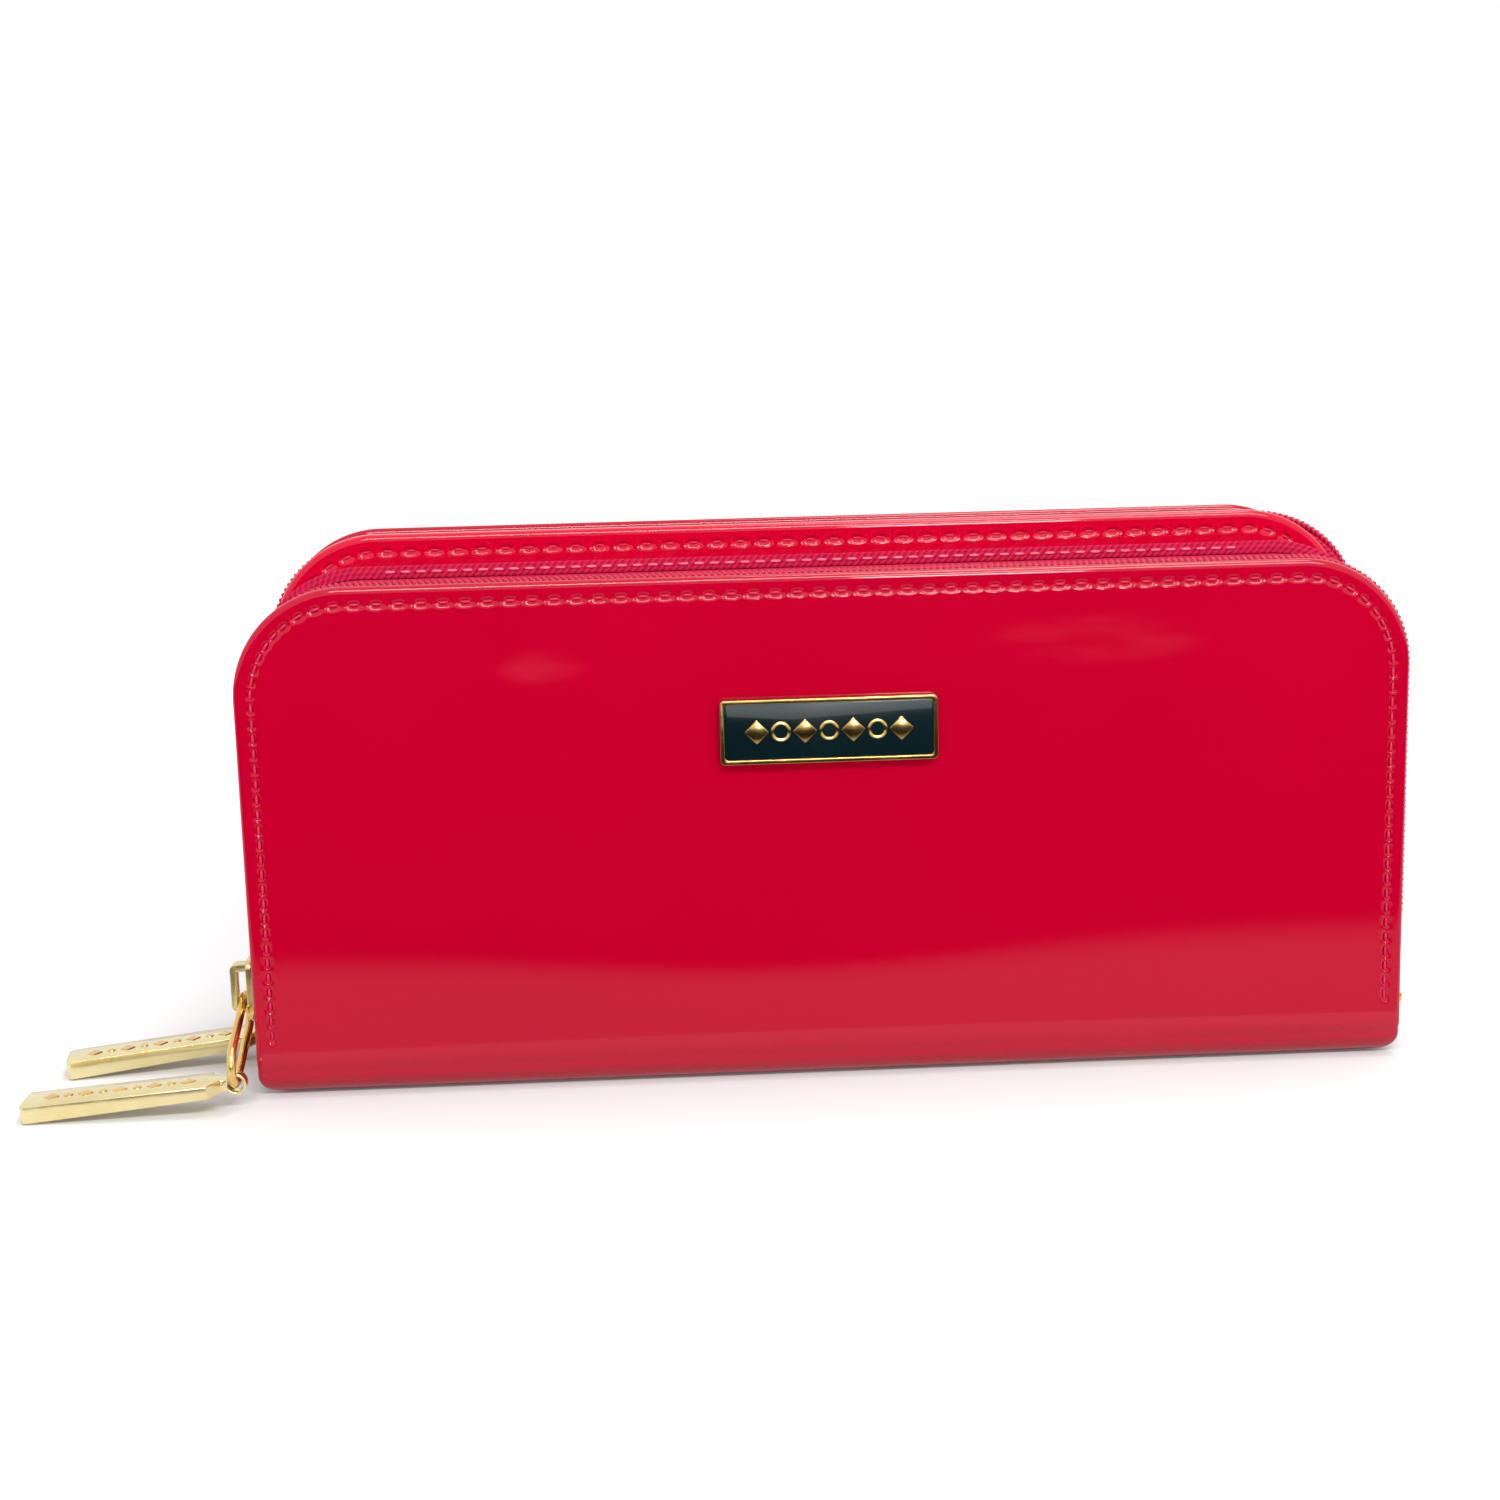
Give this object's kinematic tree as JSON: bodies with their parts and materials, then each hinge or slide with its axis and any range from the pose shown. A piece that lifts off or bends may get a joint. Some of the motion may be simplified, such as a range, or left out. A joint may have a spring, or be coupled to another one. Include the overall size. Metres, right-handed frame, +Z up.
{
  "type": "double zip around wallet",
  "caption": "Upright glossy leather wallet with two zip-around compartments, stiff divider, card slots, coin pocket and metal pulls.",
  "frame": {"origin": "centre of the flat base that the wallet stands on", "axes": "+X along the width to the right seen from the front, -Y out of the front cover, +Z up"},
  "size_m": [0.2412, 0.0591, 0.0946],
  "materials": {
    "patent_leather": "crimson patent leather, high gloss lacquer with slight waves and fine scuffs",
    "inner_leather": "thin crimson smooth leather, satin",
    "lining_cloth": "crimson woven lining, matte",
    "stiffener_board": "bonded fibre board, matte",
    "thread": "crimson bonded sewing thread",
    "zip_tape": "crimson twill zip tape, matte",
    "zip_coil": "crimson nylon coil, satin",
    "gold_metal": "gold plated, polished",
    "pale_gold": "pale gold plated, polished with fine brushing",
    "dark_enamel": "green-black enamel, glossy",
    "plain_steel": "stamped nickel steel"
  },
  "bodies": {
    "root": {"base_leather": "patent_leather", "base_board": "stiffener_board", "base_lining": "lining_cloth", "front_fold": "patent_leather", "rear_fold": "patent_leather", "divider_front_leather": "patent_leather", "divider_board": "stiffener_board", "divider_rear_leather": "patent_leather", "divider_thread": "thread", "divider_tape_thread": "thread", "divider_slip_pocket": "inner_leather", "front_zip_divider_tape": "zip_tape", "front_zip_divider_coil": "zip_coil", "front_zip_divider_stops": "gold_metal", "rear_zip_divider_tape": "zip_tape", "rear_zip_divider_coil": "zip_coil", "rear_zip_divider_stops": "gold_metal", "front_end_tabs": "inner_leather", "rear_end_tabs": "inner_leather", "bill_divider": "lining_cloth", "coin_pocket_front": "inner_leather", "coin_pocket_back": "inner_leather", "coin_pocket_gusset": "lining_cloth", "coin_zip_tapes": "zip_tape", "coin_zip_coils": "zip_coil", "coin_zip_stops": "gold_metal"},
    "front_cover": {"front_cover_leather": "patent_leather", "front_cover_board": "stiffener_board", "front_cover_lining": "lining_cloth", "front_cover_thread": "thread", "plaque_frame": "gold_metal", "plaque_enamel": "dark_enamel", "plaque_back_plate": "plain_steel", "front_slot_1": "inner_leather", "front_slot_2": "inner_leather", "front_slot_3": "inner_leather", "front_slot_4": "inner_leather", "front_zip_cover_tape": "zip_tape", "front_zip_cover_coil": "zip_coil", "front_zip_cover_stops": "gold_metal"},
    "back_cover": {"back_cover_leather": "patent_leather", "back_cover_board": "stiffener_board", "back_cover_lining": "lining_cloth", "back_cover_thread": "thread", "rear_slot_1": "inner_leather", "rear_slot_2": "inner_leather", "rear_slot_3": "inner_leather", "rear_zip_cover_tape": "zip_tape", "rear_zip_cover_coil": "zip_coil", "rear_zip_cover_stops": "gold_metal"},
    "front_slider": {"front_slider": "gold_metal"},
    "front_link": {"front_link": "gold_metal"},
    "front_pull": {"front_pull_bar": "pale_gold"},
    "rear_slider": {"rear_slider": "gold_metal"},
    "rear_link": {"rear_link": "gold_metal"},
    "rear_pull": {"rear_pull_bar": "pale_gold"},
    "coin_slider": {"coin_slider": "gold_metal"},
    "coin_pull": {"coin_pull": "gold_metal"}
  },
  "joints": [
    {"name": "front_cover_fold", "type": "hinge", "parent": "root", "child": "front_cover", "pos_m": [0, -0.0225, 0.0028], "axis": [1, 0, 0], "range_deg": [0, 85], "deforming": ["front_fold"]},
    {"name": "back_cover_fold", "type": "hinge", "parent": "root", "child": "back_cover", "pos_m": [0, 0.0225, 0.0028], "axis": [-1, 0, 0], "range_deg": [0, 85], "deforming": ["rear_fold"]},
    {"name": "front_slider_run", "type": "slide", "parent": "root", "child": "front_slider", "axis": [0, 0, 1], "range_m": [0, 0.042]},
    {"name": "front_link_swing", "type": "hinge", "parent": "front_slider", "child": "front_link", "pos_m": [-0.10275, -0.0163, 0.0164], "axis": [0, 1, 0], "range_deg": [0, 60]},
    {"name": "front_bar_swing", "type": "hinge", "parent": "front_link", "child": "front_pull", "pos_m": [-0.10275, -0.02945, 0.00481], "axis": [0, 1, 0], "range_deg": [-75, 35]},
    {"name": "rear_slider_run", "type": "slide", "parent": "root", "child": "rear_slider", "axis": [0, 0, 1], "range_m": [0, 0.042]},
    {"name": "rear_link_swing", "type": "hinge", "parent": "rear_slider", "child": "rear_link", "pos_m": [-0.10125, 0.0114, 0.0164], "axis": [0, 1, 0], "range_deg": [0, 60]},
    {"name": "rear_bar_swing", "type": "hinge", "parent": "rear_link", "child": "rear_pull", "pos_m": [-0.10125, -0.00176, 0.00481], "axis": [0, 1, 0], "range_deg": [-75, 35]},
    {"name": "coin_slider_run", "type": "slide", "parent": "root", "child": "coin_slider", "axis": [1, 0, 0], "range_m": [0, 0.126]},
    {"name": "coin_pull_swing", "type": "hinge", "parent": "coin_slider", "child": "coin_pull", "pos_m": [-0.064, -0.00135, 0.06285], "axis": [0, -1, 0], "range_deg": [0, 150]}
  ]
}
